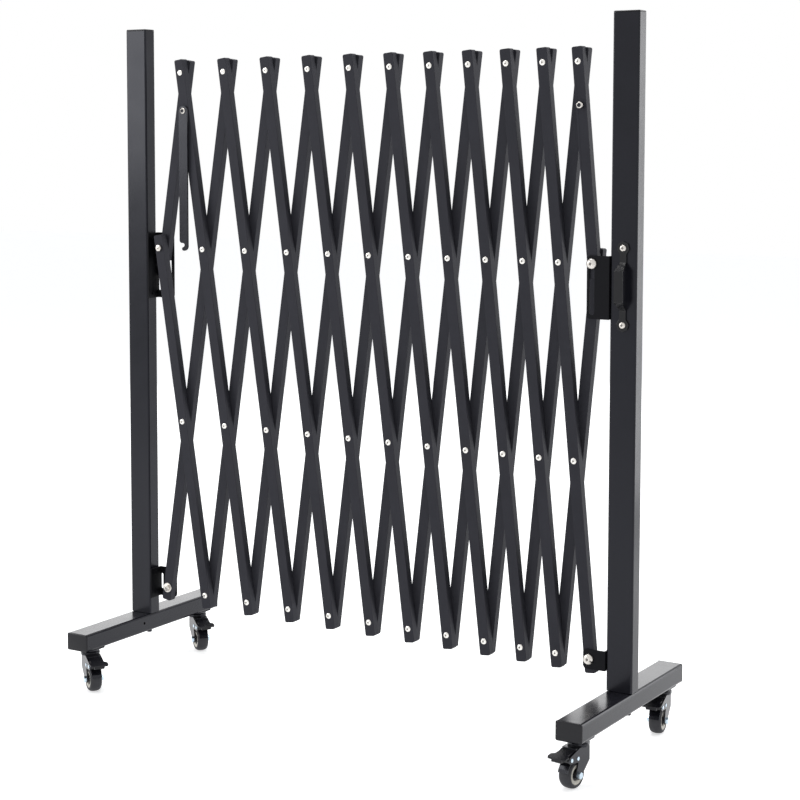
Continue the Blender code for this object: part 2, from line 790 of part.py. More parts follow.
def handle_side_outline():
    """The handle's strip seen from the side: tabs on the post, legs and the grip held off."""
    surface = -POST_DEPTH / 2 - FIT_GAP
    heights = [
        (HANDLE_SCREW_SPACING + HANDLE_TAB) / 2,
        HANDLE_GRIP_LENGTH / 2 + HANDLE_LEG,
        HANDLE_GRIP_LENGTH / 2,
    ]
    heights += [-z for z in reversed(heights)]
    offsets = [0, 0, HANDLE_STANDOFF - HANDLE_THICKNESS]
    offsets += offsets[::-1]
    inner = [(surface - offset, z) for offset, z in zip(offsets, heights)]
    outer = [(y - HANDLE_THICKNESS, z) for y, z in inner]
    return inner + outer[::-1]


def handle_front_outline():
    """The handle seen from the front: round tabs, narrow necks and a wider grip."""
    neck = HANDLE_NECK_WIDTH / 2
    grip = HANDLE_GRIP_WIDTH / 2
    tab = HANDLE_TAB / 2
    screw = HANDLE_SCREW_SPACING / 2
    open_angle = degrees(asin(neck / tab))
    upper = arc((0, screw), tab, open_angle - 90, 270 - open_angle)
    leg = HANDLE_GRIP_LENGTH / 2 + HANDLE_LEG
    half = HANDLE_GRIP_LENGTH / 2
    left = [(-neck, leg), (-grip, half), (-grip, -half), (-neck, -leg)]
    lower = [(-x, -z) for x, z in upper]
    right = [(-x, -z) for x, z in left]
    return upper + left + lower + right


def handle_mesh():
    """The pull handle with its two screws."""
    side = prism(handle_side_outline(), -HANDLE_TAB, HANDLE_TAB, "X")
    deep = POST_DEPTH / 2 + HANDLE_STANDOFF + CUT_OVERRUN
    mesh = combined(side, prism(handle_front_outline(), -deep, 0, "Y"), "INTERSECT")
    seat = -POST_DEPTH / 2 - FIT_GAP - HANDLE_THICKNESS
    radius = HANDLE_SCREW / 2
    profile = [(0, seat + WELD_SINK), (radius, seat + WELD_SINK), (radius, seat - HANDLE_SCREW_RISE / 2),
               (radius * CROWN_SHARE, seat - HANDLE_SCREW_RISE), (0, seat - HANDLE_SCREW_RISE)]
    for sign in (-1, 1):
        screw = turned(profile, BOLT_SIDES, "Y")
        mesh = joined(mesh, shifted(screw, z=sign * HANDLE_SCREW_SPACING / 2))
    return mesh


# Casters, drawn with the swivel axis on Z, the floor at zero and the wheel trailing towards -Y

def towards_trail(points):
    """Turn (forward, height) points into the (Y, Z) points of an outline pulled along X."""
    return [(-forward, height) for forward, height in points]


def mount_mesh():
    """The plate under the foot with its race and king pin."""
    half = PLATE_SIZE / 2
    plate = prism(rounded(-half, half, -half, half, PLATE_CORNER), RACE_TOP, RACE_TOP + PLATE_THICKNESS)
    race = RACE_DIAMETER / 2
    pin = KING_PIN / 2
    head = KING_PIN_HEAD / 2
    head_top = CROWN_BOTTOM - SWIVEL_GAP
    profile = [
        (0, RACE_TOP + WELD_SINK),
        (race, RACE_TOP + WELD_SINK),
        (race, RACE_TOP - RACE_HEIGHT / 4),
        (RACE_WAIST / 2, RACE_TOP - RACE_HEIGHT / 2),
        (race, RACE_BOTTOM + RACE_HEIGHT / 4),
        (race, RACE_BOTTOM),
        (pin, RACE_BOTTOM),
        (pin, head_top),
        (head, head_top),
        (head, head_top - KING_PIN_HEAD_HEIGHT),
        (0, head_top - KING_PIN_HEAD_HEIGHT),
    ]
    return joined(plate, turned(profile, RACE_SIDES))


def leg_outline():
    """The fork from the side: shoulder, axle foot, arch and the pedal's ear."""
    top = CROWN_BOTTOM + CROWN_THICKNESS / 2
    arch = WHEEL_DIAMETER - LEG_ARCH_DROP
    outline = [(-LEG_BACK, top), (-LEG_BACK, top - LEG_SHOULDER)]
    outline += arc((WHEEL_TRAIL, AXLE_HEIGHT), LEG_FOOT / 2, 215, 375)
    outline += [(WHEEL_TRAIL + LEG_ARCH_DROP, arch)]
    outline += arc((PEDAL_AXIS_FORWARD, PEDAL_AXIS_HEIGHT), PEDAL_EAR / 2, 250, 440)
    outline += [(CROWN_DIAMETER / 2, top)]
    return towards_trail(outline)


def shell_outline():
    """The fork from above: two legs joined by a round back, open towards the trail."""
    reach = PEDAL_AXIS_FORWARD + PEDAL_EAR
    outline = []
    for side, radius in ((LEG_OUTSIDE, SHELL_RADIUS), (LEG_INSIDE, SHELL_RADIUS - LEG_THICKNESS)):
        start = degrees(acos(side / radius))
        bend = [(side, -reach)] + arc((0, 0), radius, start, 180 - start) + [(-side, -reach)]
        outline += bend if not outline else bend[::-1]
    return outline


def cross_pin(forward, height, diameter):
    """A pin across both legs, with a flat head outside each."""
    radius = diameter / 2
    head = PIN_HEAD / 2
    inside = LEG_OUTSIDE - WELD_SINK
    outside = LEG_OUTSIDE + PIN_HEAD_RISE
    profile = [(0, -outside), (head, -outside), (head, -inside), (radius, -inside),
               (radius, inside), (head, inside), (head, outside), (0, outside)]
    return shifted(turned(profile, RIVET_SIDES, "X"), y=-forward, z=height)


def brake_shoe():
    """The brake strip that wraps the front of the tread, up to its lug."""
    inner = WHEEL_DIAMETER / 2 + SHOE_GAP
    outer = inner + SHOE_THICKNESS
    centre = (WHEEL_TRAIL, AXLE_HEIGHT)
    strip = arc(centre, inner, SHOE_START, SHOE_END) + arc(centre, outer, SHOE_END, SHOE_START)
    lug_middle = WHEEL_TRAIL + SHOE_PIN_FORWARD
    lug = rectangle(lug_middle - SHOE_LUG / 2, lug_middle + SHOE_LUG / 2,
                    AXLE_HEIGHT + inner + WELD_SINK, AXLE_HEIGHT + SHOE_PIN_RISE)
    half = SHOE_WIDTH / 2
    return joined(prism(towards_trail(strip), -half, half, "X"),
                  prism(towards_trail(lug), -half, half, "X"))


def axle():
    """The axle with its nuts outside the legs."""
    reach = LEG_OUTSIDE + AXLE_NUT_RISE
    centre = (-WHEEL_TRAIL, AXLE_HEIGHT)
    rod = prism(circle(AXLE_DIAMETER / 2, BOLT_SIDES, centre), -reach, reach, "X")
    nuts = []
    for near, far in ((-reach, WELD_SINK - LEG_OUTSIDE), (LEG_OUTSIDE - WELD_SINK, reach)):
        nuts.append(prism(circle(AXLE_NUT / 2, NUT_SIDES, centre), near, far, "X"))
    return joined(rod, *nuts)


def fork_mesh():
    """The fork: crown, shell with its legs, brake block, axle, cross pins and the brake strip."""
    crown = prism(circle(CROWN_DIAMETER / 2, RACE_SIDES), CROWN_BOTTOM, CROWN_TOP)
    hole = circle(KING_PIN / 2 + SWIVEL_GAP, RACE_SIDES)
    mesh = cut(crown, prism(hole, CROWN_BOTTOM - CUT_OVERRUN, CROWN_TOP + CUT_OVERRUN))
    sides = prism(leg_outline(), -SHELL_RADIUS, SHELL_RADIUS, "X")
    shell = prism(shell_outline(), -CUT_OVERRUN, CROWN_TOP + CUT_OVERRUN)
    mesh = joined(mesh, combined(sides, shell, "INTERSECT"))
    half = LEG_INSIDE + WELD_SINK
    block = rectangle(-half, half, -BRAKE_BLOCK_FRONT, -BRAKE_BLOCK_BACK)
    block_top = CROWN_BOTTOM + CROWN_THICKNESS / 2
    mesh = joined(mesh, prism(block, CROWN_BOTTOM - BRAKE_BLOCK_DROP, block_top))
    shoe_pin = cross_pin(WHEEL_TRAIL + SHOE_PIN_FORWARD, AXLE_HEIGHT + SHOE_PIN_RISE, SHOE_PIN)
    pedal_pin = cross_pin(PEDAL_AXIS_FORWARD, PEDAL_AXIS_HEIGHT, PEDAL_PIN)
    return joined(mesh, axle(), shoe_pin, pedal_pin, brake_shoe())


def wheel_mesh():
    """The wheel, centred on its axle along X, with a bore, a hub and a recessed rim."""
    half = WHEEL_WIDTH / 2
    face = half - RIM_RECESS
    tread = WHEEL_DIAMETER / 2
    rim = tread - TYRE_THICKNESS
    sizes = [(AXLE_DIAMETER / 2 + FIT_GAP, half), (HUB_DIAMETER / 2, half), (HUB_DIAMETER / 2, face),
             (rim, face), (rim, half), (tread - TREAD_SHOULDER, half), (tread, half - TREAD_SHOULDER)]
    profile = [(radius, x) for radius, x in sizes]
    profile += [(radius, -x) for radius, x in reversed(sizes)]
    flat = 1 / cos(pi / WHEEL_SIDES)
    return turned([(radius * flat, x) for radius, x in profile], WHEEL_SIDES, "X")


def pedal_side_outline():
    """The pedal from the side, its pin on the origin."""
    hub = PEDAL_HUB / 2
    top = PEDAL_TOP_RISE
    under = top - PEDAL_THICKNESS
    lip = PEDAL_FRONT - PEDAL_LIP_LENGTH
    lip_top = top - PEDAL_SLOPE_DROP
    lip_under = lip_top - PEDAL_THICKNESS
    outline = [(-PEDAL_BACK, under), (-PEDAL_BACK, top), (lip, lip_top)]
    outline += [(PEDAL_FRONT, lip_top - PEDAL_LIP_DROP), (PEDAL_FRONT, lip_under - PEDAL_LIP_DROP)]
    outline += [(lip, lip_under)]
    outline += arc((0, 0), hub, 30, -210)
    return towards_trail(outline)


def pedal_plan_outline():
    """The pedal from above: a narrow body and a wide lip."""
    body = LEG_INSIDE - PEDAL_SIDE_GAP
    lip = PEDAL_LIP_WIDTH / 2
    root = PEDAL_EAR / 2 + PEDAL_SIDE_GAP
    flare = root + PEDAL_LIP_CORNER
    nose = PEDAL_FRONT - PEDAL_LIP_CORNER
    half = [(body, -PEDAL_BACK - CUT_OVERRUN), (body, root), (lip, flare), (lip, nose),
            (lip - PEDAL_LIP_CORNER, PEDAL_FRONT + CUT_OVERRUN)]
    outline = half + [(-x, forward) for x, forward in reversed(half)]
    return [(x, -forward) for x, forward in outline]


def pedal_mesh():
    """The brake pedal with the bump under its lip."""
    lip = PEDAL_LIP_WIDTH / 2
    side = prism(pedal_side_outline(), -lip - CUT_OVERRUN, lip + CUT_OVERRUN, "X")
    plan = prism(pedal_plan_outline(), -PEDAL_HUB, PEDAL_TOP_RISE + CUT_OVERRUN)
    mesh = combined(side, plan, "INTERSECT")
    under = PEDAL_TOP_RISE - PEDAL_SLOPE_DROP - PEDAL_THICKNESS - PEDAL_LIP_DROP / 2
    bump_end = PEDAL_FRONT - PEDAL_THICKNESS
    bump = rectangle(bump_end - PEDAL_BUMP_LENGTH, bump_end, under - PEDAL_BUMP_DROP, under)
    half = PEDAL_BUMP_WIDTH / 2
    mesh = joined(mesh, prism(towards_trail(bump), -half, half, "X"))
    hole = circle(PEDAL_PIN / 2 + FIT_GAP, RIVET_SIDES)
    return cut(mesh, prism(hole, -lip, lip, "X"))


def build_caster(side, end, stand, meshes, finishes):
    """One caster under a foot: mount, swivelling fork, wheel and brake pedal."""
    name = f"{side}_{end}_caster"
    facing = -1 if end == "front" else 1
    y = facing * (FOOT_LENGTH / 2 - CASTER_FROM_END)
    turn = TRAIL_TURNS[f"{side}_{end}"]
    place(f"{name}_mount", meshes["mount"], finishes["caster"], stand, (0, y, 0))
    swivel = place_frame(f"{name}_swivel", stand, (0, y, 0), (0, 0, radians(turn)))
    place(f"{name}_fork", meshes["fork"], finishes["caster"], swivel)
    axle_place = (0, -WHEEL_TRAIL, AXLE_HEIGHT)
    place(f"{name}_wheel", meshes["wheel"], finishes["rubber"], swivel, axle_place)
    pedal_place = (0, -PEDAL_AXIS_FORWARD, PEDAL_AXIS_HEIGHT)
    place(f"{name}_pedal", meshes["pedal"], finishes["plastic"], swivel, pedal_place)


# Stands

def build_bolts(side, stand, upper_carrier, finishes):
    """The two end bolts of a side; the upper one rides with the lattice bar that carries it."""
    reach = FLANGE_OUTSIDE + FIT_GAP
    if side == "left":
        lower = bolt_mesh(BAR_FACE - FIT_GAP, reach, "washer")
        upper = bolt_mesh(-BAR_OUTSIDE - FIT_GAP, reach, "nut")
        upper_bar = ("front", 0)
    else:
        lower = bolt_mesh(-reach, FIT_GAP - BAR_FACE, "dome")
        upper = bolt_mesh(-reach, BAR_OUTSIDE + FIT_GAP, "dome")
        upper_bar = ("back", LAST_BAR)
    lower_place = (outward(side) * END_PIN_OFFSET, 0, lower_pin(side).z)
    place(f"{side}_lower_bolt", lower, finishes["zinc"], stand, lower_place)
    up_bar = along_bar(TOP_ROW + 1) - along_bar(pivot_row(*upper_bar))
    place(f"{side}_upper_bolt", upper, finishes["zinc"], upper_carrier, (0, 0, up_bar))


def build_stand(side, root, upper_carrier, meshes, finishes):
    """A post on its foot with caps, brackets, bolts and casters."""
    turn = 0 if side == "left" else 180
    x = lower_pin(side).x - outward(side) * END_PIN_OFFSET
    stand = place_frame(f"{side}_stand", root, (x, 0, 0))
    post_top = FOOT_TOP + POST_HEIGHT - CAP_THICKNESS
    place(f"{side}_post", meshes["post"], finishes["coat"], stand, (0, 0, FOOT_TOP))
    place(f"{side}_post_cap", meshes["post_cap"], finishes["plastic"], stand, (0, 0, post_top))
    middle = (0, 0, FOOT_TOP - FOOT_HEIGHT / 2)
    place(f"{side}_foot", meshes["foot"], finishes["coat"], stand, middle, turn)
    place(f"{side}_upper_bracket", upper_bracket(side), finishes["bracket"], stand, turn_z=turn)
    place(f"{side}_lower_bracket", lower_bracket(side), finishes["bracket"], stand, turn_z=turn)
    build_bolts(side, stand, upper_carrier, finishes)
    for end in ("front", "back"):
        cap_foot_end(side, stand, meshes["foot_cap"], end, finishes)
        build_caster(side, end, stand, meshes, finishes)
    return stand


def shared_meshes():
    """Meshes that several pieces share."""
    post_length = POST_HEIGHT - CAP_THICKNESS
    return {
        "post": tube(POST_WIDTH, POST_DEPTH, POST_CORNER, FIT_GAP, post_length, "Z"),
        "post_cap": plug(POST_WIDTH, POST_DEPTH, POST_CORNER),
        "foot": foot_mesh(),
        "foot_cap": plug(FOOT_WIDTH, FOOT_HEIGHT, FOOT_CORNER),
        "mount": mount_mesh(),
        "fork": fork_mesh(),
        "wheel": wheel_mesh(),
        "pedal": pedal_mesh(),
    }


def centre_on_floor(root):
    """Move the root so that the box's underside is centred on the origin."""
    bpy.context.view_layer.update()
    corners = []
    for obj in bpy.data.objects:
        if obj.type == "MESH":
            corners += [obj.matrix_world @ vert.co for vert in obj.data.vertices]
    low = [min(corner[axis] for corner in corners) for axis in range(3)]
    high = [max(corner[axis] for corner in corners) for axis in range(3)]
    root.location = (-(low[0] + high[0]) / 2, -(low[1] + high[1]) / 2, -low[2])
    bpy.context.view_layer.update()


def main():
    """Build the barrier."""
    clear_scene()
    finishes = make_finishes()
    root = place_frame("barrier", None)
    pivots = build_lattice(root, finishes)
    build_hook(root, finishes)
    meshes = shared_meshes()
    build_stand("left", root, pivots["front", 0], meshes, finishes)
    right = build_stand("right", root, pivots["back", LAST_BAR], meshes, finishes)
    place("pull_handle", handle_mesh(), finishes["plastic"], right, (0, 0, FOOT_TOP + HANDLE_RISE))
    centre_on_floor(root)


main()
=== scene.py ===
"""Portable barrier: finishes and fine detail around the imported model.

X runs along the fence, Y runs away from the viewer and Z is up. Lengths are metres, and
millimetres where a comment says so.
"""
import json
from math import cos, pi, radians, sin
import bpy
import bmesh
from mathutils import Matrix, Vector


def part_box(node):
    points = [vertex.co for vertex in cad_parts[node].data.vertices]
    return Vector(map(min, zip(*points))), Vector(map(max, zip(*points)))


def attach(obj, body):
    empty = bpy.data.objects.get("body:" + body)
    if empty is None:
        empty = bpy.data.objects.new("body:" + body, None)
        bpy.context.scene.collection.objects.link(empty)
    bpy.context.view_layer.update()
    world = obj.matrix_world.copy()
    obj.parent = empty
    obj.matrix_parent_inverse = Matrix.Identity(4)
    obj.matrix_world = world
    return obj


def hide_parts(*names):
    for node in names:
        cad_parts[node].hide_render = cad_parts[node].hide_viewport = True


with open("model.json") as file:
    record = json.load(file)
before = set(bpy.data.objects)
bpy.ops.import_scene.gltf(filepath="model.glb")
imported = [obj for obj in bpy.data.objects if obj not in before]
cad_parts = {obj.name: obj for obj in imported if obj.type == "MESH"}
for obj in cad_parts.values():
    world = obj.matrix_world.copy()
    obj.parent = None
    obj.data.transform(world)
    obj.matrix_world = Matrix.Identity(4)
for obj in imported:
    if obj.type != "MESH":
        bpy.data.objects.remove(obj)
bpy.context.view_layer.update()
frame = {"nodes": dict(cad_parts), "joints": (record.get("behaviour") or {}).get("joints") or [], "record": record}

NODES = frame["nodes"]
JOINTS = {joint["name"]: joint for joint in frame["joints"]}
MM = 0.001

# The photograph's frame and the camera that was fitted to it, in its pixels
FRAME_SIDE = 800
FOCAL_PIXELS = 1900.702
AXIS_PIXEL = (340.0, 296.0)
CAMERA_YAW = -0.56573
CAMERA_PITCH = 0.08309
CAMERA_ROLL = -0.00086
CAMERA_FROM_FOLD = (2.381216, -3.082064, 0.929209)
SENSOR = 36.0

# The plane between the two layers of bars, in metres
LATTICE_Y = JOINTS["fold"]["pos_m"][1]

# Depths in the CAD from that plane, in millimetres
BAR_OUTSIDE = 16.3
FACE_SLACK = 0.2
HANDLE_SEAT = 18.3
STUD_HEAD_SEAT = 22.6

# The handle's screws, up and down from its middle, in millimetres
HANDLE_SCREW_FROM_MIDDLE = 67.75

# One head's vertices are closer together than the reach, and a head that stands out more than
# a rivet's is a stud's, in millimetres
HEAD_REACH = 14
STUD_PROUD = 4

# The casters' zinc lies outside the legs' faces and below the crown, in millimetres
LEG_OUTSIDE = 15.6
ZINC_TOP = 64

# Caps, in millimetres
CAP_CORNER = 3.4
CAP_LEAST_RADIUS = 0.6
CAP_EDGE = 2.2
CAP_HEIGHT = 3.0
CAP_UNDERSIDE = 0.3
CAP_LIP_INSET = 0.15
CAP_LIP_HEIGHT = 0.45
SPIGOT_INSET = 2.4
SPIGOT_DEPTH = 11.8

# Soft edges of the CAD nodes, in metres and degrees
WELD_DISTANCE = 0.00001
EDGE_WIDTH = 0.0005
EDGE_ANGLE = 35
EDGE_STEPS = 2

# Edges that turn more than this stay sharp on the new pieces, in degrees
SHARP_ANGLE = 38

# Sides of the round pieces
RIVET_SIDES = 28
BOLT_SIDES = 40
WHEEL_SIDES = 72
NUT_SIDES = 6
CAP_CORNER_STEPS = 6
CAP_EDGE_STEPS = 5

# The floor and the world
FLOOR_HALF = 14.0
FLOOR_GREY = 0.80
FLOOR_GLOW = 0.55
FILL_COLOUR = (0.95, 0.97, 1.0, 1.0)
FILL_STRENGTH = 0.55

# Soft lamps: name, place, target, size and watts
LAMPS = (
    ("right_softbox", (1.4, 1.2, 1.15), (0.53, 0, 0.7), (0.8, 2.1), 15),
    ("left_softbox", (-2.6, 3.7, 1.5), (0, 0, 0.2), (5.0, 2.4), 52),
    ("top_softbox", (-0.6, 0.4, 3.6), (0.1, 0, 0), (1.7, 1.7), 60),
    ("front_fill", (-2.6, -2.0, 1.8), (-0.3, 0, 0.6), (1.8, 1.8), 42),
)


# Materials

# The coats' cool mirror tint
COOL = (0.89, 0.91, 1.0)


def node_tree(name):
    """A new node material: its nodes, its links and its Principled shader."""
    material = bpy.data.materials.new(name)
    material.use_nodes = True
    tree = material.node_tree
    return material, tree.nodes, tree.links, tree.nodes["Principled BSDF"]


def noise(nodes, links, scale, detail=3.0, roughness=0.55, stretch=(1, 1, 1)):
    """A noise texture in object coordinates."""
    place = nodes.new("ShaderNodeTexCoord")
    mapping = nodes.new("ShaderNodeMapping")
    mapping.inputs["Scale"].default_value = stretch
    texture = nodes.new("ShaderNodeTexNoise")
    texture.inputs["Scale"].default_value = scale
    texture.inputs["Detail"].default_value = detail
    texture.inputs["Roughness"].default_value = roughness
    links.new(place.outputs["Object"], mapping.inputs["Vector"])
    links.new(mapping.outputs["Vector"], texture.inputs["Vector"])
    return texture.outputs["Fac"]


def ramp(nodes, links, source, stops):
    """A colour ramp over a source, from (position, grey or colour) stops."""
    node = nodes.new("ShaderNodeValToRGB")
    elements = node.color_ramp.elements
    while len(elements) < len(stops):
        elements.new(0.5)
    for element, (position, colour) in zip(elements, stops):
        element.position = position
        if not isinstance(colour, tuple):
            colour = (colour, colour, colour)
        element.color = (*colour, 1.0)
    links.new(source, node.inputs["Fac"])
    return node.outputs["Color"]


def bump(nodes, links, source, strength, distance, before=None):
    """A bump from a height, on top of an earlier one if there is one."""
    node = nodes.new("ShaderNodeBump")
    node.inputs["Strength"].default_value = strength
    node.inputs["Distance"].default_value = distance
    links.new(source, node.inputs["Height"])
    if before is not None:
        links.new(before, node.inputs["Normal"])
    return node.outputs["Normal"]


def shade(base, factor):
    """A colour made lighter or darker."""
    return tuple(channel * factor for channel in base)


def clouded(nodes, links, shader, cloud, tones, glosses, start=0.25):
    """Clouds of tone, from dark to light, and of roughness, from smooth to rough."""
    links.new(ramp(nodes, links, cloud, [(0.30, tones[0]), (0.70, tones[1])]), shader.inputs["Base Color"])
    links.new(ramp(nodes, links, cloud, [(start, glosses[0]), (0.75, glosses[1])]),
              shader.inputs["Roughness"])


def powder_coat(name, colour, roughness, specular, peel=1.0, peel_scale=900.0):
    """Powder coat: fine orange peel over a wider one, and soft clouds of tone and gloss."""
    material, nodes, links, shader = node_tree(name)
    cloud = noise(nodes, links, 14.0, 4.0)
    fine = noise(nodes, links, peel_scale, 2.0)
    wide = noise(nodes, links, peel_scale * 0.22, 3.0)
    clouded(nodes, links, shader, cloud, (shade(colour, 0.90), shade(colour, 1.10)),
            (roughness - 0.04, roughness + 0.05))
    first = bump(nodes, links, wide, 0.10 * peel, 0.0006)
    links.new(bump(nodes, links, fine, 0.16 * peel, 0.00025, first), shader.inputs["Normal"])
    shader.inputs["Specular IOR Level"].default_value = specular
    shader.inputs["Specular Tint"].default_value = (*COOL, 1.0)
    return material


def bright_zinc(name, colour, roughness):
    """Zinc plate: brushed gloss and faint clouds."""
    material, nodes, links, shader = node_tree(name)
    cloud = noise(nodes, links, 260.0, 3.0)
    scratch = noise(nodes, links, 900.0, 2.0, stretch=(1, 1, 7))
    clouded(nodes, links, shader, cloud, (shade(colour, 0.92), colour), (roughness, roughness + 0.12),
            start=0.30)
    links.new(bump(nodes, links, scratch, 0.12, 0.0001), shader.inputs["Normal"])
    shader.inputs["Metallic"].default_value = 1.0
    return material


def tyre_rubber(name, colour):
    """Rubber tread: dull, with fine pores and worn clouds."""
    material, nodes, links, shader = node_tree(name)
    cloud = noise(nodes, links, 60.0, 4.0)
    pores = noise(nodes, links, 1500.0, 2.0)
    clouded(nodes, links, shader, cloud, (shade(colour, 0.80), shade(colour, 1.20)), (0.50, 0.66))
    links.new(bump(nodes, links, pores, 0.20, 0.0002), shader.inputs["Normal"])
    shader.inputs["Specular IOR Level"].default_value = 0.4
    return material


def moulded(name, colour, roughness, specular=0.5):
    """Moulded plastic: fine grain and soft clouds."""
    material, nodes, links, shader = node_tree(name)
    cloud = noise(nodes, links, 40.0, 3.0)
    grain = noise(nodes, links, 1200.0, 2.0)
    clouded(nodes, links, shader, cloud, (shade(colour, 0.93), shade(colour, 1.06)),
            (roughness - 0.04, roughness + 0.05))
    links.new(bump(nodes, links, grain, 0.12, 0.0002), shader.inputs["Normal"])
    shader.inputs["Specular IOR Level"].default_value = specular
    return material


COAT = powder_coat("stand_coat", (0.0085, 0.0085, 0.0120), 0.22, 0.28, 0.7)
LATTICE = powder_coat("lattice_coat", (0.036, 0.036, 0.043), 0.52, 0.10)
BRACKET = powder_coat("bracket_coat", (0.005, 0.005, 0.006), 0.50, 0.12, 4.0, 420.0)
PLASTIC = moulded("black_plastic", (0.011, 0.011, 0.014), 0.24, 0.26)
HANDLE = moulded("handle_plastic", (0.008, 0.008, 0.010), 0.16, 0.34)
GLOSS = powder_coat("caster_coat", (0.009, 0.009, 0.012), 0.18, 0.40, 0.6)
ZINC = bright_zinc("zinc_plate", (0.66, 0.63, 0.59), 0.24)
RIVET_ZINC = bright_zinc("rivet_zinc", (0.84, 0.82, 0.78), 0.22)
BLUE_ZINC = bright_zinc("blue_zinc_plate", (0.62, 0.74, 0.84), 0.20)
# Dark grey for the middles of the rivet, stud, screw and bolt heads: partly the rivets' real mandrel ends and
# partly painted shade in the dimples, and on the bolts also a painted dark reflection
MANDREL_AND_PAINTED_SHADE = bright_zinc("mandrel_and_painted_shade", (0.20, 0.19, 0.18), 0.45)
TYRE = tyre_rubber("tyre_rubber", (0.028, 0.028, 0.033))
RIM = moulded("cream_rim", (0.62, 0.59, 0.52), 0.44)

SLOT_FINISH = {
    "stand_coat": COAT,
    "lattice_coat": LATTICE,
    "black_bracket": BRACKET,
    "black_plastic": PLASTIC,
    "zinc": ZINC,
    "caster_steel": GLOSS,
    "wheel_tyre": TYRE,
}


# Meshes

def nodes_ending(ending):
    """Names of the CAD nodes with an ending, in order."""
    return [name for name in sorted(NODES) if name.endswith(ending)]


def front_bars():
    """Names of the front bars, in order."""
    return [name for name in sorted(NODES) if name.startswith("front_bar")]


def add_object(name, data):
    """A new object in the scene."""
    item = bpy.data.objects.new(name, data)
    bpy.context.scene.collection.objects.link(item)
    return item


def ring_points(radius, sides):
    """Points of a regular polygon."""
    turns = [2 * pi * side / sides for side in range(sides)]
    return [(radius * cos(turn), radius * sin(turn)) for turn in turns]


def bridge(shape, lower, upper, sides, finish):
    """Faces between two rings, either of which may be a single pole."""
    for side in range(sides):
        after = (side + 1) % sides
        corners = [lower[side % len(lower)], lower[after % len(lower)],
                   upper[after % len(upper)], upper[side % len(upper)]]
        face = shape.faces.new(list(dict.fromkeys(corners)))
        face.material_index = finish


def add_turned(shape, profile, sides, place, closed=False):
    """Turn (radius, height, finish) points in millimetres about Z and put the result at a place."""
    rings = []
    for radius, height, finish in profile:
        points = ring_points(radius * MM, sides) if radius else [(0, 0)]
        ring = [shape.verts.new(place @ Vector((x, y, height * MM))) for x, y in points]
        rings.append((ring, finish))
    pairs = list(zip(rings, rings[1:]))
    if closed:
        pairs.append((rings[-1], rings[0]))
    for lower, upper in pairs:
        bridge(shape, lower[0], upper[0], sides, upper[1])


def facing(place, direction):
    """A matrix that takes Z to a direction and the origin to a place."""
    turn = Vector((0, 0, 1)).rotation_difference(Vector(direction))
    return Matrix.Translation(place) @ turn.to_matrix().to_4x4()


def store(name, shape, finishes, body):
    """Put a mesh in the scene as a piece that rides on a body."""
    bmesh.ops.recalc_face_normals(shape, faces=shape.faces)
    mesh = bpy.data.meshes.new(name)
    shape.to_mesh(mesh)
    shape.free()
    for finish in finishes:
        mesh.materials.append(finish)
    mesh.shade_smooth()
    mesh.set_sharp_from_angle(angle=radians(SHARP_ANGLE))
    piece = add_object(name, mesh)
    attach(piece, body)
    return piece


# Finishes of the CAD nodes

def body_of(node):
    """The body that a node rides on."""
    bodies = frame["record"]["behaviour"]["bodies"]
    return next(body for body, nodes in bodies.items() if node in nodes)


def soften(node):
    """Round a node's edges a little, without touching its mesh."""
    weld = node.modifiers.new("weld", "WELD")
    weld.merge_threshold = WELD_DISTANCE
    bevel = node.modifiers.new("soft_edges", "BEVEL")
    bevel.width = EDGE_WIDTH
    bevel.segments = EDGE_STEPS
    bevel.limit_method = "ANGLE"
    bevel.angle_limit = radians(EDGE_ANGLE)
    bevel.use_clamp_overlap = True
    normals = node.modifiers.new("even_normals", "WEIGHTED_NORMAL")
    normals.keep_sharp = True


def paint_nodes():
    """Give each node soft edges and the finish of its slot, and the handle a glossier one."""
    slots = {part["node"]: part["material_slot"] for part in frame["record"]["subparts"]}
    for name, node in NODES.items():
        node.data.materials.clear()
        node.data.materials.append(HANDLE if name == "pull_handle" else SLOT_FINISH[slots[name]])
        soften(node)


def paint_faces(name, finish, wanted):
    """Give the faces of a node that a test picks by their middle another finish."""
    mesh = NODES[name].data
    mesh.materials.append(finish)
    for face in mesh.polygons:
        if wanted(face.center):
            face.material_index = len(mesh.materials) - 1


def paint_casters():
    """Bluish zinc on the axle nuts and the cross pins' heads."""
    for name in nodes_ending("_fork"):
        roll = JOINTS[name.replace("_fork", "_roll")]
        middle, along = Vector(roll["pos_m"]), Vector(roll["axis"]).normalized()

        def on_pin(point):
            outside = abs((point - middle).dot(along)) > LEG_OUTSIDE * MM
            return outside and point.z < ZINC_TOP * MM

        paint_faces(name, BLUE_ZINC, on_pin)


# Rivets and studs

def round_heads(node, side):
    """Middles (x, z) of a bar's round heads on one side, with how far each stands out in millimetres."""
    groups = []
    for vertex in NODES[node].data.vertices:
        proud = side * (vertex.co.y - LATTICE_Y) / MM - BAR_OUTSIDE
        if proud < FACE_SLACK:
            continue
        point = Vector((vertex.co.x, vertex.co.z))
        for first, group in groups:
            if (point - first).length < HEAD_REACH * MM:
                group.append((*point, proud))
                break
        else:
            groups.append((point, [(*point, proud)]))
    found = []
    for _, group in groups:
        xs, zs, prouds = zip(*group)
        found.append((((min(xs) + max(xs)) / 2, (min(zs) + max(zs)) / 2), max(prouds)))
    return found


# Profiles are (radius, height, finish) points in millimetres; the finish is 0 or 1, for the
# first or second finish of the piece
# The rivet head's second finish, in its dimple, is partly the real mandrel end and partly painted shade
RIVET_HEAD = [(5.6, -0.2, 0), (5.75, 0.5, 0), (5.45, 1.1, 0), (4.7, 1.65, 0), (3.6, 2.1, 0),
              (2.5, 2.36, 0), (1.85, 2.42, 0), (1.6, 2.34, 1), (1.4, 2.31, 1), (0, 2.30, 1)]
RIVET_TAIL = [(5.9, -0.2, 0), (6.0, 0.6, 0), (5.4, 1.5, 0), (4.2, 2.1, 0), (2.6, 2.45, 0), (0, 2.6, 0)]


